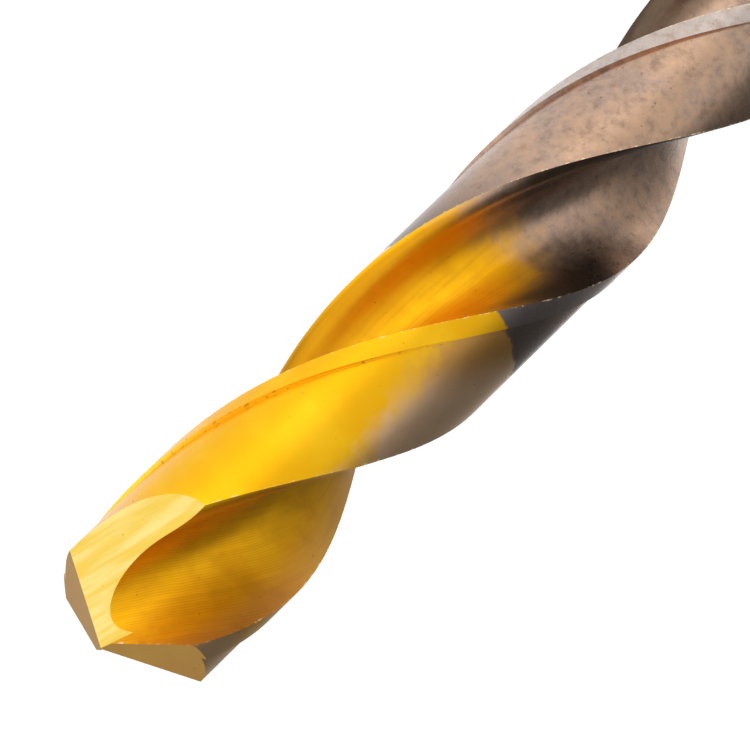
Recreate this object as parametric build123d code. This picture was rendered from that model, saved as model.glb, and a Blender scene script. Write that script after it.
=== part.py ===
from build123d import *
from math import atan2, cos, degrees, hypot, pi, radians, sin, sqrt, tan
import os

# Twist drill bit: right-hand cutting, two helical flutes, thinned split point, straight shank.
# Frame: the axis is Z, the origin is the centre of the shank's end face, the tip is on top.
# The two cutting lips lie along X. Lengths are in millimetres, angles in degrees.

# Body
diameter = 10.0               # across the lips' corners
overall_length = 133.0
flute_length = 87.0           # from the tip to where the flutes have run out
helix_angle = 29.0            # of the leading edges, at the full diameter
back_taper = 0.06             # loss of diameter from the tip to the shank
shank_chamfer = 0.8

# Lands
margin_width = 1.2            # round the circumference, behind each leading edge
body_clearance = 0.23         # depth of the relieved land behind the margin
heel_angle = 86.0             # from a leading edge back to its land's heel
clearance_length = 78.0       # from the tip to where the relief has faded out
clearance_fade = 3.0          # height over which it fades

# Flutes
flute_radius = 2.35           # of the hollow between the rake face and the heel wall
heel_radius = 1.1             # of the rounded shoulder between the heel wall and the heel
heel_sweep = 60.0             # of that shoulder
wheel_radius = 60.0           # of the path by which the grinding wheel leaves the blank
wheel_exit = 55.0             # direction in which it leaves, from the lip

# Point
point_angle = 129.0
lip_relief = 16.5             # slope of the primary flank behind the lip
lip_lead = 0.6                # distance of each lip ahead of the axis
gash_tilt = 58.5              # of the gash facet, from level
gash_turn = 67.9              # direction in which the gash facet falls, from the other lip
split_turn = 38.0             # direction of the short inner lip, from the main lip
split_rake = 16.0             # undercut of the wall below the inner lip
split_offset = 0.05           # distance of that wall ahead of the axis

# Construction allowances
overcut = 1.0                 # how far cutters reach past the metal that they remove
section_turn = 15.0           # turn between two sections of a flute's run-out

# Derived sizes
radius = diameter / 2
shank_radius = radius - back_taper / 2
land_radius = radius - body_clearance
lead = pi * diameter / tan(radians(helix_angle))
lip_fall = 1 / tan(radians(point_angle / 2))
flank_fall = tan(radians(lip_relief))
lip_reach = sqrt(radius**2 - lip_lead**2)
shank_length = overall_length - flute_length


def wheel_travel(lift):
    """Fall over which the wheel's path lifts it out by a distance."""
    return sqrt(2 * wheel_radius * lift - lift**2)


flute_depth = radius - lip_lead
straight_bottom = shank_length + wheel_travel(flute_depth)
straight_top = overall_length + overcut


def polar(reach, angle):
    """Point of a section, at an angle from the lip."""
    return Vector(reach * cos(radians(angle)), reach * sin(radians(angle)))


def turn_over(rise):
    """Angle by which the flutes turn over a rise along the axis."""
    return 360 * rise / lead


def rake_angle(distance):
    """Angle of the rake face, in the tip's level, where it carries a point of the lip.

    The lip is a straight line, and the rake face is that line carried along the helix.
    """
    depth = lip_fall * distance - flank_fall * lip_lead
    return degrees(atan2(lip_lead, distance)) + turn_over(depth)


def rake_point(distance):
    return polar(hypot(distance, lip_lead), rake_angle(distance))


edge_angle = rake_angle(lip_reach)
heel_at = edge_angle + 180 - heel_angle
step_at = edge_angle + 180 - degrees(margin_width / radius)


def flute_section():
    """The flute in front of the lip along +X, at the tip's level, closed outside the blank."""
    heel = polar(land_radius, heel_at)
    shoulder = heel - polar(heel_radius, heel_sweep)
    wall_top = shoulder + polar(heel_radius, 0)
    hollow_radius = min(flute_radius, wall_top.Y - lip_lead)
    hollow = Vector(wall_top.X + hollow_radius, lip_lead + hollow_radius)
    wall_foot = hollow - polar(hollow_radius, 0)
    outside = lip_reach + overcut
    rake = Spline([rake_point(outside + (hollow.X - outside) * step / 6) for step in range(7)])
    floor = ThreePointArc(rake @ 1, hollow - polar(hollow_radius, 40), wall_foot)
    nose = ThreePointArc(wall_top, shoulder + polar(heel_radius, heel_sweep / 2), heel)
    heel_exit = heel + polar(2 * overcut, heel_sweep + 90)
    far = 2 * radius
    closing = Polyline(heel, heel_exit, polar(far, heel_at), polar(far, edge_angle), rake @ 0)
    outline = [rake, floor, nose, closing]
    if wall_top.Y > wall_foot.Y:
        outline.append(Line(wall_foot, wall_top))
    return make_face(Curve() + outline)


def land_section():
    """A band over the land of the lip along -X, from its margin to past its heel."""
    inner = land_radius - overcut
    outer = radius + overcut
    end_at = heel_at - 8
    middle = (step_at + end_at) / 2
    outline = [
        ThreePointArc(polar(inner, step_at), polar(inner, middle), polar(inner, end_at)),
        Line(polar(inner, end_at), polar(outer, end_at)),
        ThreePointArc(polar(outer, end_at), polar(outer, middle), polar(outer, step_at)),
        Line(polar(outer, step_at), polar(inner, step_at)),
    ]
    return make_face(Curve() + outline)


def at_height(section, height, shift=Vector(0, 0)):
    """A section of the tip's level, shifted, turned along the helix and set at a height."""
    return Pos(0, 0, height) * Rot(0, 0, turn_over(height - overall_length)) * Pos(shift) * section


def along_helix(section, bottom):
    """A section run along the helix from a height to just past the tip."""
    rise = straight_top - bottom
    face = at_height(section, bottom).face()
    return Solid.extrude_linear_with_rotation(face, (0, 0, bottom), (0, 0, rise), turn_over(rise))


def turned(profile):
    """A solid of revolution from (radius, height) corners."""
    return revolve(Plane.XZ * make_face(Polyline(profile, close=True)), Axis.Z)


def blank():
    """The turned blank: a chamfered shank, and a body with back taper."""
    return turned([
        (0, 0),
        (shank_radius - shank_chamfer, 0),
        (shank_radius, shank_chamfer),
        (shank_radius, shank_length),
        (radius, overall_length),
        (0, overall_length),
    ])


def relief():
    """What is ground off one land behind its margin: a band outside the land's radius."""
    bottom = overall_length - clearance_length
    core = turned([
        (0, bottom - overcut),
        (radius, bottom - overcut),
        (radius, bottom),
        (land_radius, bottom + clearance_fade),
        (land_radius, straight_top),
        (0, straight_top),
    ])
    return along_helix(land_section(), bottom) - core


def flute():
    """One flute and its run-out, where the wheel leaves the blank along an arc."""
    section = flute_section()
    travel = wheel_travel(flute_depth + overcut)
    steps = max(2, round(turn_over(travel) / section_turn))
    layers = []
    for step in range(steps + 1):
        fall = travel * step / steps
        lift = wheel_radius - sqrt(wheel_radius**2 - fall**2)
        layers.append(at_height(section, straight_bottom - fall, polar(lift, wheel_exit)))
    return along_helix(section, straight_bottom) + loft(layers)


def above(direction, tilt, offset=0.0):
    """Everything above a plane through the tip that is tilted from level, falling in a direction."""
    level = polar(sin(radians(tilt)), direction)
    normal = Vector(level.X, level.Y, cos(radians(tilt)))
    plane = Plane(Vector(0, 0, overall_length) + normal * offset, z_dir=normal)
    size = 4 * diameter
    return plane * Box(size, size, size, align=(Align.CENTER, Align.CENTER, Align.MIN))


def point_cuts():
    """Cuts of the land behind the lip along +X: its primary flank, and the gash behind that."""
    flank_turn = -degrees(atan2(flank_fall, lip_fall))
    flank_tilt = degrees(atan2(hypot(lip_fall, flank_fall), 1))
    flank = above(flank_turn, flank_tilt)
    gash = above(gash_turn - 180, gash_tilt)
    wall = above(split_turn - 90, 90 + split_rake, split_offset)
    return [flank, gash & wall]


def drill_bit():
    bit = blank()
    for cut in [relief(), flute()] + point_cuts():
        bit -= [cut, Rot(0, 0, 180) * cut]
    return bit


os.makedirs("parts", exist_ok=True)
export_step(drill_bit(), "parts/drill_bit.step")
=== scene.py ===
from collections import namedtuple
from math import atan2, cos, degrees, hypot, pi, radians, sin, sqrt, tan

import bmesh
import bpy
import numpy as np
from mathutils import Matrix, Vector


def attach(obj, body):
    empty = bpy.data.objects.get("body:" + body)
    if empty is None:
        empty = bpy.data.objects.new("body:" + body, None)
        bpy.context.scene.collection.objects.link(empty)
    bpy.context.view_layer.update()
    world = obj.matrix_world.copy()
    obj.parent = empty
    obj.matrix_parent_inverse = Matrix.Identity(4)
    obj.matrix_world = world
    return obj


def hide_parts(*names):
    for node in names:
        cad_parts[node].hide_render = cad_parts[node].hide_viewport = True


# Twist drill bit: golden coating on the point and the body next to it, bare bronzed steel below.
# Shapes are worked out in millimetres, in the CAD frame: the axis is Z and the tip is on top.

MM = 0.001

# The bit's dimensions, as in its source.
DIAMETER = 10.0
LENGTH = 133.0
FLUTE_LENGTH = 87.0
HELIX = 29.0
BACK_TAPER = 0.06
SHANK_CHAMFER = 0.8
MARGIN_WIDTH = 1.2
BODY_CLEARANCE = 0.23
HEEL_ANGLE = 86.0
CLEARANCE_LENGTH = 78.0
CLEARANCE_FADE = 3.0
FLUTE_RADIUS = 2.35
HEEL_RADIUS = 1.1
HEEL_SWEEP = 60.0
WHEEL_RADIUS = 60.0
WHEEL_EXIT = 55.0
POINT_ANGLE = 129.0
LIP_RELIEF = 16.5
LIP_LEAD = 0.6
GASH_TILT = 58.5
GASH_TURN = 67.9
SPLIT_TURN = 38.0
SPLIT_RAKE = 16.0
SPLIT_OFFSET = 0.05

# Sizes that follow from them.
RADIUS = DIAMETER / 2
SHANK_RADIUS = RADIUS - BACK_TAPER / 2
LAND_RADIUS = RADIUS - BODY_CLEARANCE
SHANK_LENGTH = LENGTH - FLUTE_LENGTH
LEAD = pi * DIAMETER / tan(radians(HELIX))
LIP_FALL = 1 / tan(radians(POINT_ANGLE / 2))
FLANK_FALL = tan(radians(LIP_RELIEF))
LIP_REACH = sqrt(RADIUS**2 - LIP_LEAD**2)
FLUTE_DEPTH = RADIUS - LIP_LEAD
STRAIGHT_BOTTOM = SHANK_LENGTH + sqrt(2 * WHEEL_RADIUS * FLUTE_DEPTH - FLUTE_DEPTH**2)
BAND_BOTTOM = LENGTH - CLEARANCE_LENGTH

# Allowances, in millimetres unless they say otherwise.
OVER_TIP = 1.0                # by which the body rises past the tip, before the point is ground
RAKE_OVERCUT = 1.0            # by which the flute's curve runs out past the leading edge
HEEL_OVERCUT = 2.0            # by which it runs out past the heel
BAND_OVERLAP = 8.0            # degrees by which the relief runs over the flute at its run-out
CUTTER_SIZE = 40.0
TOUCH = 1e-6                  # within which a point counts as lying on the relieved land
WELD = 1e-7                   # distance in metres within which the mesh's points are welded
FACET_TOUCH = 0.01            # within which a point counts as lying on a facet of the point

# Mesh density.
RAKE_POINTS = 120             # of the flute's curve, before its points are spread evenly
HOLLOW_POINTS = 120
SHOULDER_POINTS = 60
EXIT_POINTS = 40
FLOOR_BLEND = 18              # points over which the bend in the flute's floor is spread
FLUTE_COLUMNS = 76
HEEL_COLUMNS = 4
BAND_COLUMNS = 36
MARGIN_COLUMNS = 8
FINE_STEP = 0.35              # between rows from the tip down to the height below
FINE_FROM = 76.0
COARSE_STEP = 0.6
SHANK_STEP = 1.2
SHANK_FIRST_STEP = 0.3
CHAMFER_ROOM = 0.5            # kept free of rows above the chamfer
SPREAD_LENGTH = 14.0          # over which the shank's columns become even
SHARP_ANGLE = 24.0            # beyond which an edge is shaded sharp

# Regions of the surface, in the order of the piece's material slots. Each has its coating's
# roughness, the depths of its grinding lines and its dents, and the index of its clear layer.
Region = namedtuple("Region", "name roughness lines dents layer_index")
REGIONS = (
    Region("flute", 0.47, 0.64, 0.5, 1.12),
    Region("land", 0.33, 0.20, 0.9, 1.12),
    Region("margin", 0.33, 0.20, 0.5, 1.15),
    Region("flank", 0.36, 0.32, 0.2, 1.45),
    Region("gash", 0.42, 0.40, 0.2, 1.30),
    Region("gash_wall", 0.40, 0.40, 0.2, 1.20),
    Region("shank", 0.33, 0.32, 0.5, 1.20),
    Region("end_face", 0.40, 0.40, 0.3, 1.20),
)
FLUTE, LAND, MARGIN, FLANK, GASH, WALL, SHANK, END = range(len(REGIONS))


def polar(reach, angle):
    """Point of a section, at an angle in degrees from the lip."""
    return np.array([reach * cos(radians(angle)), reach * sin(radians(angle))])


def angle_of(point):
    """Direction in degrees of a section's point from the axis."""
    return degrees(atan2(point[1], point[0]))


def turn_over(rise):
    """Degrees by which the flutes turn over a rise along the axis."""
    return 360 * rise / LEAD


def rake_angle(distance):
    """Angle of the rake face, in the tip's level, where it carries a point of the lip."""
    depth = LIP_FALL * distance - FLANK_FALL * LIP_LEAD
    return degrees(atan2(LIP_LEAD, distance)) + turn_over(depth)


EDGE_ANGLE = rake_angle(LIP_REACH)
HEEL_AT = EDGE_ANGLE + 180 - HEEL_ANGLE
STEP_BEHIND = degrees(MARGIN_WIDTH / RADIUS)
STEP_AT = EDGE_ANGLE + 180 - STEP_BEHIND


def arc(centre, reach, start, end, count):
    """Points of an arc between two directions from its centre."""
    return [centre + polar(reach, a) for a in np.linspace(start, end, count)]


def flute_curve():
    """The flute's section from outside its leading edge, round the hollow, to outside its heel."""
    heel = polar(LAND_RADIUS, HEEL_AT)
    shoulder = heel - polar(HEEL_RADIUS, HEEL_SWEEP)
    wall_top = shoulder + polar(HEEL_RADIUS, 0)
    hollow_radius = min(FLUTE_RADIUS, wall_top[1] - LIP_LEAD)
    hollow = np.array([wall_top[0] + hollow_radius, LIP_LEAD + hollow_radius])
    reaches = np.linspace(LIP_REACH + RAKE_OVERCUT, hollow[0], RAKE_POINTS)
    points = [polar(hypot(d, LIP_LEAD), rake_angle(d)) for d in reaches]
    points += arc(hollow, hollow_radius, -90, -180, HOLLOW_POINTS)[1:]
    points += arc(shoulder, HEEL_RADIUS, 0, HEEL_SWEEP, SHOULDER_POINTS)
    exits = np.linspace(0, HEEL_OVERCUT, EXIT_POINTS)[1:]
    points += [heel + polar(reach, HEEL_SWEEP + 90) for reach in exits]
    return evened(np.array(points), RAKE_POINTS - 1, FLOOR_BLEND)


def evened(points, joint, reach):
    """A curve whose bend at one of its points is spread over those around it."""
    kernel = np.ones(2 * reach + 1) / (2 * reach + 1)
    around = points[joint - 3 * reach:joint + 3 * reach + 1]
    even = np.stack([np.convolve(around[:, axis], kernel, "valid") for axis in (0, 1)], axis=1)
    share = np.cos(np.linspace(-pi / 2, pi / 2, len(even)))[:, None] ** 2
    window = slice(joint - 2 * reach, joint + 2 * reach + 1)
    points[window] += (even - points[window]) * share
    return points


def flute_lift(height):
    """How far the wheel has moved out of the blank at a height."""
    fall = min(WHEEL_RADIUS, max(0.0, STRAIGHT_BOTTOM - height))
    return WHEEL_RADIUS - sqrt(WHEEL_RADIUS**2 - fall**2)


def blank_radius(height):
    """Radius of the turned blank at a height, with its back taper."""
    rise = max(0.0, height - SHANK_LENGTH) / FLUTE_LENGTH
    return SHANK_RADIUS + (RADIUS - SHANK_RADIUS) * rise


def band_radius(height):
    """Radius of the relieved land at a height."""
    fade = min(1.0, max(0.0, (height - BAND_BOTTOM) / CLEARANCE_FADE))
    return min(blank_radius(height), RADIUS - BODY_CLEARANCE * fade)


def crossing(inner, outer, reach):
    """Where the line between two points meets a circle round the axis."""
    a, b = np.linalg.norm(inner), np.linalg.norm(outer)
    return inner + (outer - inner) * (reach - a) / (b - a)


def clipped_flute(curve, height):
    """The part of the lifted flute's section inside the blank, or None below its run-out."""
    moved = curve + polar(flute_lift(height), WHEEL_EXIT)
    reach = np.linalg.norm(moved, axis=1)
    full, relieved = blank_radius(height), band_radius(height)
    inside = np.flatnonzero(reach < full)
    if len(inside) < 2:
        return None
    first = inside[0]
    start = crossing(moved[first], moved[first - 1], full)
    last = np.flatnonzero(reach <= relieved + TOUCH)[-1]
    end = crossing(moved[last], moved[last + 1], relieved)
    if angle_of(end) < HEEL_AT - BAND_OVERLAP:
        last = inside[-1]
        end = crossing(moved[last], moved[last + 1], full)
    return np.vstack([start, moved[first:last + 1], end])


def resampled(points, count):
    """A line's points spread evenly along it."""
    steps = np.linalg.norm(np.diff(points, axis=0), axis=1)
    along = np.concatenate([[0], np.cumsum(steps)])
    at = np.linspace(0, along[-1], count)
    return np.stack([np.interp(at, along, points[:, axis]) for axis in (0, 1)], axis=1)


def half_section(curve, height):
    """One flute and the land after it: a fixed number of points, from edge to edge."""
    full, relieved = blank_radius(height), band_radius(height)
    clipped = clipped_flute(curve, height)
    if clipped is None:
        return None
    flute = resampled(clipped, FLUTE_COLUMNS)
    edge = angle_of(flute[0])
    heel = angle_of(flute[-1])
    band_start = max(heel, HEEL_AT - BAND_OVERLAP)
    heel_arc = [polar(full if band_start > heel else relieved, a)
                for a in np.linspace(heel, band_start, HEEL_COLUMNS)[1:]]
    band = [polar(relieved, a) for a in np.linspace(band_start, STEP_AT, BAND_COLUMNS)]
    margin = [polar(full, a) for a in np.linspace(STEP_AT, edge + 180, MARGIN_COLUMNS + 1)[:-1]]
    return np.vstack([flute, heel_arc, band, margin])


def half_regions():
    """Region of the face after each point of half a section."""
    flute = [FLUTE] * (FLUTE_COLUMNS - 1)
    land = [LAND] * (HEEL_COLUMNS + BAND_COLUMNS)
    return flute + land + [MARGIN] * MARGIN_COLUMNS


def whole_section(half, height):
    """Both halves, turned along the helix and set at a height."""
    both = np.vstack([half, -half])
    turn = radians(turn_over(height - LENGTH))
    turned = both @ np.array([[cos(turn), sin(turn)], [-sin(turn), cos(turn)]])
    return np.column_stack([turned, np.full(len(turned), height)])


def body_rows():
    """The rows of the fluted body, from the top down to where its flutes have run out."""
    curve = flute_curve()
    heights = np.concatenate([
        np.arange(LENGTH + OVER_TIP, FINE_FROM, -FINE_STEP),
        np.arange(FINE_FROM, SHANK_LENGTH, -COARSE_STEP),
    ])
    rows = []
    for height in heights:
        half = half_section(curve, height)
        if half is None:
            break
        rows.append(whole_section(half, height))
    return rows


def shank_rows(top_row):
    """Round rows below a row, whose points spread out evenly as they go down."""
    top = top_row[0][2]
    count = len(top_row)
    angles = np.unwrap(np.arctan2(top_row[:, 1], top_row[:, 0]))
    even = angles.mean() + 2 * pi * (np.arange(count) - (count - 1) / 2) / count
    rows = []
    heights = np.arange(top - SHANK_FIRST_STEP, SHANK_CHAMFER + CHAMFER_ROOM, -SHANK_STEP)
    for height in np.append(heights, SHANK_CHAMFER):
        share = min(1.0, (top - height) / SPREAD_LENGTH)
        share = share * share * (3 - 2 * share)
        at = angles + (even - angles) * share
        reach = blank_radius(height)
        rows.append(np.column_stack([reach * np.cos(at), reach * np.sin(at), np.full(count, height)]))
    foot = SHANK_RADIUS - SHANK_CHAMFER
    rows.append(np.column_stack([foot * np.cos(at), foot * np.sin(at), np.zeros(count)]))
    return rows


def row_regions(row, body_count, row_count):
    """Region of each face between a row and the next one down."""
    if row >= row_count - 2:
        return [END] * len(half_regions()) * 2
    if row >= body_count - 1:
        return [SHANK] * len(half_regions()) * 2
    return half_regions() * 2


def body_mesh():
    """The fluted body and the shank as one closed mesh, before the point is ground."""
    body = body_rows()
    shank = shank_rows(body[-1])
    rows = body + shank
    count = len(rows[0])
    faces, face_regions = [], []
    for row in range(len(rows) - 1):
        upper, lower = row * count, (row + 1) * count
        for column in range(count):
            after = (column + 1) % count
            faces.append((upper + column, lower + column, lower + after, upper + after))
        face_regions += row_regions(row, len(body), len(rows))
    faces.append(tuple(range(count)))
    faces.append(tuple(reversed(range((len(rows) - 1) * count, len(rows) * count))))
    face_regions += [GASH, END]
    mesh = bpy.data.meshes.new("drill_bit_surface")
    mesh.from_pydata((np.vstack(rows) * MM).tolist(), [], faces)
    mesh.polygons.foreach_set("material_index", face_regions)
    welded = bmesh.new()
    welded.from_mesh(mesh)
    bmesh.ops.remove_doubles(welded, verts=welded.verts, dist=WELD)
    bmesh.ops.dissolve_degenerate(welded, edges=welded.edges, dist=WELD)
    bmesh.ops.recalc_face_normals(welded, faces=welded.faces)
    welded.to_mesh(mesh)
    welded.free()
    return mesh


def plane_through_tip(direction, tilt, offset=0.0):
    """Point and normal of a plane near the tip, tilted from level and falling in a direction."""
    level = polar(sin(radians(tilt)), direction)
    normal = Vector((level[0], level[1], cos(radians(tilt))))
    return Vector((0, 0, LENGTH)) + normal * offset, normal


FLANK_PLANE = plane_through_tip(
    -degrees(atan2(FLANK_FALL, LIP_FALL)), degrees(atan2(hypot(LIP_FALL, FLANK_FALL), 1)))
GASH_PLANE = plane_through_tip(GASH_TURN - 180, GASH_TILT)
WALL_PLANE = plane_through_tip(SPLIT_TURN - 90, 90 + SPLIT_RAKE, SPLIT_OFFSET)


def half_space(plane, region):
    """A large box above a plane, whose faces belong to a region, as a bmesh."""
    point, normal = plane
    turned = normal.to_track_quat("Z", "Y").to_matrix().to_4x4()
    place = Matrix.Translation((point + normal * CUTTER_SIZE / 2) * MM) @ turned
    box = bmesh.new()
    bmesh.ops.create_cube(box, size=CUTTER_SIZE * MM, matrix=place)
    for face in box.faces:
        face.material_index = region
    return box


def notch():
    """What the gash removes: everything above both the gash's plane and the wall's."""
    box = half_space(GASH_PLANE, GASH)
    point, normal = WALL_PLANE
    geometry = box.verts[:] + box.edges[:] + box.faces[:]
    cut = bmesh.ops.bisect_plane(
        box, geom=geometry, plane_co=point * MM, plane_no=normal, clear_inner=True)
    rim = [item for item in cut["geom_cut"] if isinstance(item, bmesh.types.BMEdge)]
    for face in bmesh.ops.contextual_create(box, geom=rim)["faces"]:
        face.material_index = WALL
    bmesh.ops.recalc_face_normals(box, faces=box.faces)
    return box


def as_object(name, mesh):
    """A new object in the scene with a mesh."""
    made = bpy.data.objects.new(name, mesh)
    bpy.context.scene.collection.objects.link(made)
    return made


def grind_point(bit):
    """Cuts both flanks, and both gashes, and leaves the result in the bit's mesh."""
    half_turn = Matrix.Rotation(pi, 4, "Z")
    cutters = []
    for shape in (half_space(FLANK_PLANE, FLANK), notch()):
        for turned in (Matrix.Identity(4), half_turn):
            mesh = bpy.data.meshes.new("cutter")
            shape.to_mesh(mesh)
            mesh.transform(turned)
            cutter = as_object("cutter", mesh)
            cutters.append(cutter)
            cut = bit.modifiers.new("cut", "BOOLEAN")
            cut.operation = "DIFFERENCE"
            cut.solver = "EXACT"
            cut.object = cutter
        shape.free()
    graph = bpy.context.evaluated_depsgraph_get()
    ground = bpy.data.meshes.new_from_object(bit.evaluated_get(graph))
    bit.modifiers.clear()
    bit.data = ground
    for cutter in cutters:
        bpy.data.objects.remove(cutter)


def srgb(red, green, blue):
    """A colour named by its display values, as the shader's linear one."""
    def linear(value):
        value /= 255
        return value / 12.92 if value <= 0.04045 else ((value + 0.055) / 1.055)**2.4
    return (linear(red), linear(green), linear(blue), 1.0)


# Colours of the coating.
GOLD = srgb(249, 193, 26)
DEEP_GOLD = srgb(243, 180, 14)
FLUTE_GOLD = srgb(248, 188, 22)
FLUTE_DEEP = srgb(242, 176, 13)
# the gash facet's gold, paled with painted sheen
FACET_SHEEN_GOLD = srgb(244, 207, 84)
PALE_SHEEN_GOLD = srgb(252, 226, 138)
# painted highlight on the margin's step
STEP_HIGHLIGHT = srgb(250, 206, 64)
AMBER = srgb(198, 132, 18)
SPECK = srgb(130, 88, 30)
# brown of the lands' worn zone, partly painted shade
WORN_AND_SHADE = srgb(200, 148, 78)
# painted sheen of that zone towards the heel
WORN_HEEL_AND_SHEEN = srgb(248, 208, 168)
# painted shade beside the flutes' leading edges
RAKE_SIDE_SHADE = srgb(190, 150, 104)
# painted sheen on the lips' outer corners
CORNER_SHEEN = srgb(236, 198, 164)
# colour of the chips and painted glints on the edges
CHIP_AND_GLINT = srgb(250, 226, 178)
# colour of the painted shade in the flutes
FLUTE_PAINTED_SHADE = srgb(74, 60, 44)

# Colours of the bare steel.
TAUPE = srgb(192, 158, 132)
LILAC = srgb(174, 149, 134)
COPPER = srgb(208, 166, 134)
UMBER = srgb(142, 114, 98)
SILVER = srgb(198, 194, 192)
CHARCOAL = srgb(104, 88, 80)
STAIN = srgb(96, 88, 86)

# Below, a noise is given by its scale per millimetre, its detail, its roughness and, where it is
# set, its distortion. A step is given by the two values between which it rises or falls, and
# where it isn't from 0 to 1, by what it changes from and to.

# The coating's end: sharp and ragged on the lands, a mottled fade in the flutes. There it lies
# lower by a share of the square of the distance from the flute's middle plane.
LAND_COAT_END = 105.5
LAND_COAT_BLUR = 0.12
LAND_COAT_NOISE = (0.9, 3.0, 0.6)
LAND_COAT_REACH = 0.9
FLUTE_COAT_STEP = (97.2, 102.0)
FLUTE_COAT_NOISE = (0.45, 4.0, 0.6, 0.4)
FLUTE_COAT_REACH = 4.4
FLUTE_COAT_CURVE = -0.2

# The gold: slow drifts and small specks everywhere, streaks on the gash paled with painted sheen,
# more amber on the flank as painted shade.
DRIFT_NOISE = (0.22, 3.0, 0.55, 0.3)
DRIFT_STEP = (0.38, 0.66)
SPECK_NOISE = (3.2, 2.0, 0.5)
SPECK_STEP = (0.73, 0.77, 0.0, 0.6)
GASH_STREAK_STEP = (0.40, 0.66)
FLANK_SHADE = 0.4

# The gold in the flutes: darker in the wheel's lines and in blotches, painted shade on the heel
# wall, painted light that brings bright gold back on the heel's shoulder, and painted shade beside
# the leading edge. Distances from the middle plane are negative on the leading edge's side.
LINE_SHADE_STEP = (0.42, 0.62, 0.0, 0.32)
BLOTCH_NOISE = (0.38, 4.0, 0.62, 0.2)
BLOTCH_STEP = (0.42, 0.74, 0.0, 0.42)
HEEL_WALL_SHADE_STEP = (1.4, 2.6, 0.0, 0.6)
HEEL_WALL_SHADE_END = (3.15, 3.45, 1.0, 0.0)
SHOULDER_LIGHT_STEP = (3.25, 3.5, 0.0, 0.8)
RAKE_SIDE_SHADE_STEP = (-3.6, -2.1, 0.4, 0.0)

# The gold of the lands: brown towards its end, partly worn coating and partly painted shade, from a
# height that falls with the angle behind the leading edge, paler towards the heel as painted sheen.
# The step behind the margin is a painted highlight, with dark nicks beside it; the lips' outer
# corners are paler as painted sheen.
WORN_SHADE_STEP = (105.8, 109.8, 1.0, 0.0)
WORN_SHADE_SLANT = 0.11             # millimetres a degree
WORN_SHADE_NOISE = (0.6, 4.0, 0.6)
WORN_SHADE_REACH = 4.4
HEEL_SHEEN_STEP = (26.0, 60.0)
STEP_WALL_HIGHLIGHT = (STEP_BEHIND + 0.2, STEP_BEHIND + 0.7, 1.0, 0.0)
STEP_SIDE_STEP = (STEP_BEHIND + 1.0, STEP_BEHIND + 3.0, 1.0, 0.0)
NICK_NOISE = (3.6, 2.0, 0.5)
NICK_STEP = (0.60, 0.67, 0.0, 0.4)
CORNER_SHEEN_STEP = (126.0, 129.5, 0.0, 0.75)

# The bare steel: tints that drift slowly and quickly, and dark specks. It is stained dark on the
# lands just below the coating, and the margins turn silvery further on.
TINT_NOISE = (0.16, 3.0, 0.6, 0.6)
TINT_STEP = (0.36, 0.64)
MOTTLE_NOISE = (1.5, 5.0, 0.66, 0.2)
COPPER_STEP = (0.46, 0.74, 0.0, 0.7)
UMBER_STEP = (0.26, 0.54, 0.7, 0.0)
SILVER_STEP = (0.36, 0.6, 0.35, 0.65)
SILVER_HEIGHTS = (56.0, 70.0)
BARE_SPECK_NOISE = (3.4, 2.0, 0.5)
BARE_SPECK_STEP = (0.69, 0.75, 0.0, 0.6)
STAIN_STEP = (97.0, LAND_COAT_END, 0.0, 0.8)
STAIN_REACH = 6.0

# A flute is darkened with painted shade over some heights beside its leading edge, and below a
# height at its heel.
FLUTE_SHADE_NOISE = (0.7, 4.0, 0.6)
FLUTE_SHADE_REACH = 4.0
EDGE_SHADE_TOP = (106.5, 103.0)
EDGE_SHADE_FOOT = (94.5, 98.5)
EDGE_SHADE_STEP = (-2.9, -1.4, 0.92, 0.0)
HEEL_SHADE_TOP = (101.0, 97.0)
HEEL_SHADE_STEP = (1.0, 2.8, 0.0, 0.85)

# Small bright chips and painted glints along the edges, by the distance from the axis, from a lip's
# flank, and by the angle behind the leading edge; along the lands' heels they are a painted
# highlight.
CHIP_GLINT_NOISE = (3.4, 3.0, 0.6)
CHIP_GLINT_STEP = (0.53, 0.62, 0.0, 0.75)
RIM_CHIP_GLINT_STEP = (RADIUS - 0.12, RADIUS - 0.03)
LIP_CHIP_GLINT_STEP = (-0.22, -0.05)
HEEL_GLINT_STEP = (HEEL_ANGLE - 1.2, HEEL_ANGLE - 0.4)
EDGE_CHIP_GLINT_STEP = (0.3, 1.2, 1.0, 0.0)
CHIP_GLINT_METALLIC = -0.8          # change of the metal share at a full chip or painted glint

# Lines left by grinding. The draws are factors of the grain's coordinates, so that the noise is
# drawn out along the cut. In the flutes, wheel marks near the tip give way to drawn lines.
WHEEL_TILT = 31.0             # of the wheel marks in the flutes, from the axis
WHEEL_REFERENCE = 127.0       # height at which those marks are laid out
WHEEL_PITCH = 0.16
WHEEL_HEIGHTS = (115.0, 124.0)
WHEEL_WANDER_NOISE = (0.8, 2.0, 0.5)
WHEEL_WANDER = 9.0            # radians by which the marks' phase wanders
WHEEL_WAVE = (0.13, 0.10)     # height of the marks and their mean
SCRATCH_DRAW = (1.0, 0.0, 0.05)
SCRATCH_NOISE = (3.0, 2.0, 0.5)
SCRATCH_SHARE = 0.8
FLUTE_DRAW = (0.0, 1.0, 0.04)
FLUTE_LINE_NOISE = (5.0, 2.0, 0.5)
FLUTE_LINES = (0.5, 0.22)     # height of the drawn lines and their least level
GASH_STREAKS = 25.0           # of the gash facet's streaks, from its fall line
GASH_DRAW = (1.0, 0.0, 0.10)
GASH_NOISE = (1.6, 3.0, 0.55)
FINE_LINE_NOISE = (9.0, 2.0, 0.6)

# Roughness and relief.
ROUGH_NOISE = (1.3, 4.0, 0.6)
COAT_ROUGH_SPREAD = 0.10
BARE_ROUGHNESS = (0.20, 0.18)     # its spread and its least value
LAYER_ROUGHNESS = 0.5
BUMP_HEIGHT = 0.01


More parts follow.
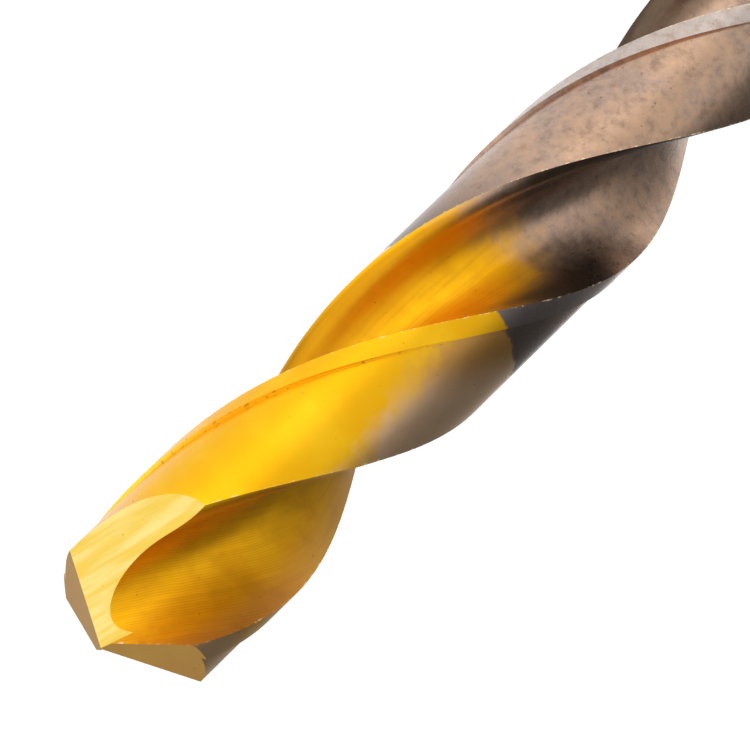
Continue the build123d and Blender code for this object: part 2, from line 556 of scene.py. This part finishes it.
class Graph:
    """A node tree, with short ways to add to it."""

    def __init__(self, tree):
        self.tree = tree

    def add(self, kind, **settings):
        node = self.tree.nodes.new("ShaderNode" + kind)
        for key, value in settings.items():
            setattr(node, key, value)
        return node

    def put(self, socket, value):
        """Links a socket to another, or sets it."""
        if isinstance(value, bpy.types.NodeSocket):
            self.tree.links.new(value, socket)
        else:
            socket.default_value = value

    def math(self, operation, *values):
        node = self.add("Math", operation=operation)
        for socket, value in zip(node.inputs, values):
            self.put(socket, value)
        return node.outputs[0]

    def shifted(self, value, pattern, reach):
        """A value moved by a pattern, up to half a reach each way."""
        return self.math("ADD", value, self.math("MULTIPLY_ADD", pattern, reach, -reach / 2))

    def scaled(self, vector, factors):
        node = self.add("VectorMath", operation="MULTIPLY")
        self.put(node.inputs[0], vector)
        node.inputs[1].default_value = factors
        return node.outputs[0]

    def dot(self, vector, direction):
        node = self.add("VectorMath", operation="DOT_PRODUCT")
        self.put(node.inputs[0], vector)
        node.inputs[1].default_value = direction
        return node.outputs["Value"]

    def mix(self, share, first, second):
        node = self.add("Mix", data_type="RGBA")
        self.put(node.inputs["Factor"], share)
        self.put(node.inputs[6], first)
        self.put(node.inputs[7], second)
        return node.outputs[2]

    def step(self, value, low, high, bottom=0.0, top=1.0):
        """A smooth step of a value from low to high."""
        node = self.add("MapRange", interpolation_type="SMOOTHSTEP")
        self.put(node.inputs["Value"], value)
        node.inputs["From Min"].default_value = low
        node.inputs["From Max"].default_value = high
        node.inputs["To Min"].default_value = bottom
        node.inputs["To Max"].default_value = top
        return node.outputs["Result"]

    def noise(self, vector, scale, detail, roughness, distortion=0.0):
        node = self.add("TexNoise")
        self.put(node.inputs["Vector"], vector)
        node.inputs["Scale"].default_value = scale
        node.inputs["Detail"].default_value = detail
        node.inputs["Roughness"].default_value = roughness
        node.inputs["Distortion"].default_value = distortion
        return node.outputs["Fac"]

    def part(self, vector, index):
        split = self.add("SeparateXYZ")
        self.put(split.inputs[0], vector)
        return split.outputs[index]

    def place(self):
        """The position on the piece in millimetres."""
        return self.scaled(self.add("TexCoord").outputs["Object"], (1 / MM, 1 / MM, 1 / MM))

    def grain(self):
        """The mesh's grain coordinates, which grain_of works out."""
        return self.add("Attribute", attribute_name="grain").outputs["Vector"]

    def beside(self):
        """The second of them: a distance in the flutes, and an angle on the lands."""
        return self.part(self.grain(), 1)


def coated_share(graph, place, region):
    """Share of the surface that is coated, from its height."""
    height = graph.part(place, 2)
    if region == FLUTE:
        beside = graph.beside()
        square = graph.math("MULTIPLY", beside, beside)
        height = graph.shifted(height, graph.noise(place, *FLUTE_COAT_NOISE), FLUTE_COAT_REACH)
        height = graph.math("ADD", height, graph.math("MULTIPLY", square, FLUTE_COAT_CURVE))
        return graph.step(height, *FLUTE_COAT_STEP)
    height = graph.shifted(height, graph.noise(place, *LAND_COAT_NOISE), LAND_COAT_REACH)
    return graph.step(height, LAND_COAT_END - LAND_COAT_BLUR, LAND_COAT_END + LAND_COAT_BLUR)


def flute_gold(graph, place, lines, colour):
    """The gold of the flutes, darker in places, with painted shade on the heel wall and beside the
    leading edge, and painted light on the heel's shoulder.
    """
    beside = graph.beside()
    blotches = graph.step(graph.noise(place, *BLOTCH_NOISE), *BLOTCH_STEP)
    heel_wall_shade = graph.math(
        "MULTIPLY", graph.step(beside, *HEEL_WALL_SHADE_STEP), graph.step(beside, *HEEL_WALL_SHADE_END))
    colour = graph.mix(graph.step(lines, *LINE_SHADE_STEP), colour, AMBER)
    colour = graph.mix(blotches, colour, AMBER)
    # painted shade on the heel wall
    colour = graph.mix(heel_wall_shade, colour, AMBER)
    # painted light on the heel's shoulder
    colour = graph.mix(graph.step(beside, *SHOULDER_LIGHT_STEP), colour, GOLD)
    # painted shade beside the leading edge
    return graph.mix(graph.step(beside, *RAKE_SIDE_SHADE_STEP), colour, RAKE_SIDE_SHADE)


def land_gold(graph, place, colour):
    """The gold of the lands, worn and with painted shade towards its end, painted sheen towards the
    heel, a painted highlight on the margin's step and nicks beside it.
    """
    behind = graph.beside()
    # the lands' brown zone: worn coating and painted shade, with painted sheen towards the heel
    worn_and_shade = graph.mix(graph.step(behind, *HEEL_SHEEN_STEP), WORN_AND_SHADE, WORN_HEEL_AND_SHEEN)
    height = graph.shifted(graph.part(place, 2), graph.noise(place, *WORN_SHADE_NOISE), WORN_SHADE_REACH)
    slanted = graph.math("MULTIPLY_ADD", behind, -WORN_SHADE_SLANT, height)
    nicks = graph.math(
        "MULTIPLY", graph.step(behind, *STEP_SIDE_STEP),
        graph.step(graph.noise(place, *NICK_NOISE), *NICK_STEP))
    colour = graph.mix(graph.step(slanted, *WORN_SHADE_STEP), colour, worn_and_shade)
    # painted highlight on the margin's step
    colour = graph.mix(graph.step(behind, *STEP_WALL_HIGHLIGHT), colour, STEP_HIGHLIGHT)
    return graph.mix(nicks, colour, SPECK)


def gold_colour(graph, place, lines, region):
    """The coating: saturated gold with slow drifts and small specks, and each region's own marks."""
    deep, light = (FLUTE_DEEP, FLUTE_GOLD) if region in (FLUTE, WALL) else (DEEP_GOLD, GOLD)
    colour = graph.mix(graph.step(graph.noise(place, *DRIFT_NOISE), *DRIFT_STEP), deep, light)
    if region == FLANK:
        # painted shade on the flanks
        colour = graph.mix(FLANK_SHADE, colour, AMBER)
    if region == GASH:
        # the gash facet's streaked gold, paled with painted sheen
        colour = graph.mix(graph.step(lines, *GASH_STREAK_STEP), FACET_SHEEN_GOLD, PALE_SHEEN_GOLD)
    if region == FLUTE:
        colour = flute_gold(graph, place, lines, colour)
    if region == LAND:
        colour = land_gold(graph, place, colour)
    if region in (LAND, MARGIN):
        # painted sheen on the lips' outer corners
        colour = graph.mix(graph.step(graph.part(place, 2), *CORNER_SHEEN_STEP), colour, CORNER_SHEEN)
    specks = graph.step(graph.noise(place, *SPECK_NOISE), *SPECK_STEP)
    return graph.mix(specks, colour, SPECK)


def bare_colour(graph, place, region):
    """Uncoated steel: bronze tints drifting through taupe and lilac, with dark specks."""
    height = graph.part(place, 2)
    tint = graph.noise(place, *TINT_NOISE)
    mottle = graph.noise(place, *MOTTLE_NOISE)
    specks = graph.step(graph.noise(place, *BARE_SPECK_NOISE), *BARE_SPECK_STEP)
    colour = graph.mix(graph.step(tint, *TINT_STEP), LILAC, TAUPE)
    colour = graph.mix(graph.step(mottle, *COPPER_STEP), colour, COPPER)
    colour = graph.mix(graph.step(mottle, *UMBER_STEP), colour, UMBER)
    if region == MARGIN:
        silver = graph.math(
            "MULTIPLY", graph.step(mottle, *SILVER_STEP), graph.step(height, *SILVER_HEIGHTS))
        colour = graph.mix(silver, colour, SILVER)
    colour = graph.mix(specks, colour, CHARCOAL)
    if region in (LAND, MARGIN):
        stained = graph.step(graph.shifted(height, mottle, STAIN_REACH), *STAIN_STEP)
        colour = graph.mix(stained, colour, STAIN)
    return colour


def flute_painted_shade_share(graph, place):
    """How dark a flute's painted shade is: beside its leading edge, and under its heel."""
    beside = graph.beside()
    height = graph.shifted(graph.part(place, 2), graph.noise(place, *FLUTE_SHADE_NOISE), FLUTE_SHADE_REACH)
    at_edge = graph.math(
        "MULTIPLY", graph.step(height, *EDGE_SHADE_TOP), graph.step(beside, *EDGE_SHADE_STEP))
    at_edge = graph.math("MULTIPLY", at_edge, graph.step(height, *EDGE_SHADE_FOOT))
    at_heel = graph.math(
        "MULTIPLY", graph.step(height, *HEEL_SHADE_TOP), graph.step(beside, *HEEL_SHADE_STEP))
    return graph.math("MAXIMUM", at_edge, at_heel)


def near_lip(graph, place, turn):
    """One on the metal just below the flank plane of a lip, and zero away from it."""
    point, normal = FLANK_PLANE
    normal = Matrix.Rotation(radians(turn), 3, "Z") @ normal
    below = graph.math("ADD", graph.dot(place, normal), -normal.dot(point))
    return graph.step(below, *LIP_CHIP_GLINT_STEP)


def chip_and_glint_share(graph, place, region):
    """Small bright chips and painted glints along the cutting edges, and a painted highlight along
    the heels.
    """
    if region == FLUTE:
        x, y = graph.part(place, 0), graph.part(place, 1)
        square = graph.math("ADD", graph.math("MULTIPLY", x, x), graph.math("MULTIPLY", y, y))
        near = graph.step(graph.math("SQRT", square), *RIM_CHIP_GLINT_STEP)
        for turn in (0, 180):
            near = graph.math("MAXIMUM", near, near_lip(graph, place, turn))
    elif region == LAND:
        near = graph.step(graph.beside(), *HEEL_GLINT_STEP)
    else:
        near = graph.step(graph.beside(), *EDGE_CHIP_GLINT_STEP)
    chips_and_glints = graph.step(graph.noise(place, *CHIP_GLINT_NOISE), *CHIP_GLINT_STEP)
    return graph.math("MULTIPLY", near, chips_and_glints)


def flute_lines(graph, place):
    """Even wheel marks near the tip, and lines drawn out along the flute further on."""
    grain = graph.grain()
    wander = graph.math("MULTIPLY", graph.noise(place, *WHEEL_WANDER_NOISE), WHEEL_WANDER)
    phase = graph.math("MULTIPLY_ADD", graph.part(grain, 0), 2 * pi / WHEEL_PITCH, wander)
    wave = graph.math("MULTIPLY_ADD", graph.math("SINE", phase), *WHEEL_WAVE)
    scratches = graph.noise(graph.scaled(grain, SCRATCH_DRAW), *SCRATCH_NOISE)
    marks = graph.math("MULTIPLY_ADD", scratches, SCRATCH_SHARE, wave)
    drawn = graph.noise(graph.scaled(grain, FLUTE_DRAW), *FLUTE_LINE_NOISE)
    drawn = graph.math("MULTIPLY_ADD", drawn, *FLUTE_LINES)
    near_tip = graph.step(graph.part(place, 2), *WHEEL_HEIGHTS)
    change = graph.math("MULTIPLY", graph.math("SUBTRACT", marks, drawn), near_tip)
    return graph.math("ADD", drawn, change)


def grinding_lines(graph, place, region):
    """Fine lines left by the grinding wheel, as noise drawn out along the cut."""
    if region == FLUTE:
        return flute_lines(graph, place)
    if region == GASH:
        return graph.noise(graph.scaled(graph.grain(), GASH_DRAW), *GASH_NOISE)
    return graph.noise(graph.scaled(graph.grain(), SCRATCH_DRAW), *FINE_LINE_NOISE)


def steel_material(region):
    """The steel of one region, coated down to the coating's end."""
    finish = REGIONS[region]
    material = bpy.data.materials.new("coated_steel_" + finish.name)
    material.use_nodes = True
    graph = Graph(material.node_tree)
    shader = graph.tree.nodes["Principled BSDF"]
    place = graph.place()
    lines = grinding_lines(graph, place, region)
    coated = coated_share(graph, place, region)
    colour = graph.mix(
        coated, bare_colour(graph, place, region), gold_colour(graph, place, lines, region))
    if region == FLUTE:
        # painted shade in the flutes, beside the leading edge and under the heel
        colour = graph.mix(flute_painted_shade_share(graph, place), colour, FLUTE_PAINTED_SHADE)
    metallic = 1.0
    if region in (FLUTE, LAND, MARGIN):
        chips_and_glints = chip_and_glint_share(graph, place, region)
        # chips and painted glints, drawn with less metal so that they show pale
        colour = graph.mix(chips_and_glints, colour, CHIP_AND_GLINT)
        metallic = graph.math("MULTIPLY_ADD", chips_and_glints, CHIP_GLINT_METALLIC, 1.0)
    mottle = graph.noise(place, *ROUGH_NOISE)
    least = finish.roughness - COAT_ROUGH_SPREAD / 2
    rough = graph.math("MULTIPLY_ADD", mottle, COAT_ROUGH_SPREAD, least)
    bare_rough = graph.math("MULTIPLY_ADD", mottle, *BARE_ROUGHNESS)
    change = graph.math("MULTIPLY", graph.math("SUBTRACT", rough, bare_rough), coated)
    bump = graph.add("Bump")
    bump.inputs["Distance"].default_value = BUMP_HEIGHT * MM
    bump.inputs["Strength"].default_value = 1.0
    graph.put(bump.inputs["Height"], graph.math(
        "MULTIPLY_ADD", lines, finish.lines, graph.math("MULTIPLY", mottle, finish.dents)))
    graph.put(shader.inputs["Base Color"], colour)
    graph.put(shader.inputs["Roughness"], graph.math("ADD", bare_rough, change))
    graph.put(shader.inputs["Metallic"], metallic)
    graph.put(shader.inputs["Normal"], bump.outputs["Normal"])
    shader.inputs["Coat Weight"].default_value = 1.0
    shader.inputs["Coat Roughness"].default_value = LAYER_ROUGHNESS
    shader.inputs["Coat IOR"].default_value = finish.layer_index
    return material


def facet_axes(plane, turn):
    """Across and along directions on a facet, turned from its fall line."""
    normal = plane[1]
    across = normal.cross(Vector((0, 0, 1))).normalized()
    fall = normal.cross(across).normalized()
    along = fall * cos(radians(turn)) + across * sin(radians(turn))
    return np.array(normal.cross(along)), np.array(along)


def grain_of(region, points):
    """Coordinates of the wheel's marks: across them, a second coordinate, and along them.

    The second is the distance from the flute's middle plane in the flutes, zero on the facets of
    the point, and elsewhere the angle in degrees behind the leading edge. The rest are lengths.
    """
    x, y, z = points.T
    turn = np.radians(turn_over(1) * (z - LENGTH))
    if region in (GASH, WALL, FLANK):
        plane = {GASH: GASH_PLANE, WALL: WALL_PLANE, FLANK: FLANK_PLANE}[region]
        across, along = facet_axes(plane, GASH_STREAKS if region == GASH else 90)
        away = (points - np.array(plane[0])) @ np.array(plane[1])
        side = np.where(abs(away) < FACET_TOUCH, 1.0, -1.0)
        flat = points * np.stack([side, side, np.ones(len(z))], axis=1)
        return np.stack([flat @ across, 0 * z, flat @ along], axis=1)
    if region == FLUTE:
        middle = turn + radians((EDGE_ANGLE + HEEL_AT) / 2)
        out = x * np.cos(middle) + y * np.sin(middle)
        side = np.where(out < 0, -1.0, 1.0)
        beside = side * (y * np.cos(middle) - x * np.sin(middle))
        out = side * out
        slip = -tan(radians(WHEEL_TILT)) + 2 * pi / LEAD * out
        return np.stack([beside + (z - WHEEL_REFERENCE) * slip, beside, z], axis=1)
    carried = np.degrees(np.arctan2(y, x) - turn)
    behind = (EDGE_ANGLE - carried) % 180
    return np.stack([z, behind, RADIUS * np.radians(behind)], axis=1)


def add_grain(mesh):
    """Writes each face corner's grain coordinates to the mesh."""
    points = np.empty(len(mesh.vertices) * 3, np.float32)
    mesh.vertices.foreach_get("co", points)
    points = points.reshape(-1, 3) / MM
    corners = np.empty(len(mesh.loops), np.int32)
    mesh.loops.foreach_get("vertex_index", corners)
    totals = np.empty(len(mesh.polygons), np.int32)
    mesh.polygons.foreach_get("loop_total", totals)
    slots = np.empty(len(mesh.polygons), np.int32)
    mesh.polygons.foreach_get("material_index", slots)
    slots = np.repeat(slots, totals)
    grain = np.zeros((len(corners), 3))
    for region in range(len(REGIONS)):
        chosen = slots == region
        if chosen.any():
            grain[chosen] = grain_of(region, points[corners[chosen]].astype(float))
    stored = mesh.attributes.new("grain", "FLOAT_VECTOR", "CORNER")
    stored.data.foreach_set("vector", grain.astype(np.float32).ravel())


def make_bit():
    """The drill bit: one mesh, with a material for each region."""
    bit = as_object("drill_bit_surface", body_mesh())
    for region in range(len(REGIONS)):
        bit.data.materials.append(steel_material(region))
    grind_point(bit)
    bit.data.polygons.foreach_set("use_smooth", [True] * len(bit.data.polygons))
    bit.data.set_sharp_from_angle(angle=radians(SHARP_ANGLE))
    add_grain(bit.data)
    return bit


# Camera: where the photograph was taken from, and what it looks along.
CAMERA_FROM = (206.6295, 215.0240, 257.5516)
CAMERA_FORWARD = (-0.622448, -0.646368, -0.441323)
CAMERA_RIGHT = (0.721192, -0.254633, -0.644239)
CAMERA_LENS = 302.33
CAMERA_SENSOR = 36
CAMERA_CLIP = (0.01, 20)      # metres


def make_camera():
    forward = Vector(CAMERA_FORWARD).normalized()
    right = Vector(CAMERA_RIGHT).normalized()
    up = right.cross(forward)
    data = bpy.data.cameras.new("camera")
    data.lens = CAMERA_LENS
    data.sensor_width = CAMERA_SENSOR
    data.clip_start, data.clip_end = CAMERA_CLIP
    camera = bpy.data.objects.new("camera", data)
    turned = Matrix((right, up, -forward)).transposed().to_4x4()
    camera.matrix_world = Matrix.Translation(Vector(CAMERA_FROM) * MM) @ turned
    bpy.context.scene.collection.objects.link(camera)
    bpy.context.scene.camera = camera


# Floor: a round pale table, which the bit stands on near its edge.
FLOOR_RADIUS = 330.0
FLOOR_AWAY = 300.0            # of its centre from the bit
FLOOR_TURN = 168.0            # direction of its centre from the bit
FLOOR_SEGMENTS = 192
FLOOR_COLOUR = (0.94, 0.94, 0.94, 1.0)
FLOOR_ROUGHNESS = 0.9
FLOOR_SPECULAR = 0.1

# Studio: an even grey that falls off towards one side, and soft boxes that fade at their rims.
# Directions are round the axis and above level. The dark side is evenly dark within the first
# of its angles and ends at the second. Each box has its direction, its reach and its strength.
ROOM = 0.46
DARK_SIDE = (305.0, -5.0)
DARK_REACH = (18.0, 72.0)
DARK_LEVEL = 0.26
SOFT_BOXES = {
    "low": (30.0, -18.0, 46.0, 0.44),
    "key": (90.0, -10.0, 44.0, 1.18),
    "front": (35.0, 38.0, 52.0, 0.70),
    "top": (0.0, 84.0, 60.0, 1.30),
    "side": (138.0, 20.0, 45.0, 0.22),
}


def direction(azimuth, elevation):
    """Unit vector with an angle round the axis and one above level."""
    level = cos(radians(elevation))
    return Vector((
        level * cos(radians(azimuth)), level * sin(radians(azimuth)), sin(radians(elevation))))


def make_floor():
    mesh = bpy.data.meshes.new("floor")
    disc = bmesh.new()
    bmesh.ops.create_circle(disc, cap_ends=True, segments=FLOOR_SEGMENTS, radius=FLOOR_RADIUS * MM)
    disc.to_mesh(mesh)
    disc.free()
    floor = as_object("floor", mesh)
    floor.location = direction(FLOOR_TURN, 0) * FLOOR_AWAY * MM
    material = bpy.data.materials.new("floor")
    material.use_nodes = True
    shader = material.node_tree.nodes["Principled BSDF"]
    shader.inputs["Base Color"].default_value = FLOOR_COLOUR
    shader.inputs["Roughness"].default_value = FLOOR_ROUGHNESS
    shader.inputs["Specular IOR Level"].default_value = FLOOR_SPECULAR
    floor.data.materials.append(material)


def make_studio():
    world = bpy.data.worlds.new("studio")
    world.use_nodes = True
    graph = Graph(world.node_tree)
    towards = graph.add("TexCoord").outputs["Generated"]

    def facing(azimuth, elevation, near, far, at_near, at_far):
        """A value that changes smoothly with the angle from a direction."""
        closeness = graph.dot(towards, direction(azimuth, elevation))
        return graph.step(closeness, cos(radians(far)), cos(radians(near)), at_far, at_near)

    level = graph.math("MULTIPLY", facing(*DARK_SIDE, *DARK_REACH, DARK_LEVEL, 1.0), ROOM)
    for azimuth, elevation, reach, strength in SOFT_BOXES.values():
        level = graph.math("ADD", level, facing(azimuth, elevation, 0, reach, strength, 0.0))
    graph.put(graph.tree.nodes["Background"].inputs["Color"], level)
    bpy.context.scene.world = world


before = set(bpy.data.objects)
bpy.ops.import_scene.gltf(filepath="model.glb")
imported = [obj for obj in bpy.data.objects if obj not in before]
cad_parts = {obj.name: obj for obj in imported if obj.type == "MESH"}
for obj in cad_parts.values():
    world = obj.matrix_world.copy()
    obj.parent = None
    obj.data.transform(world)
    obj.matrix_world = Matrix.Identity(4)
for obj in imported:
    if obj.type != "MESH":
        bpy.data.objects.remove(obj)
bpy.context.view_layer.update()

bit = make_bit()
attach(bit, "root")
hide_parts("drill_bit")
make_camera()
make_floor()
make_studio()
bpy.context.scene.view_settings.view_transform = "Standard"
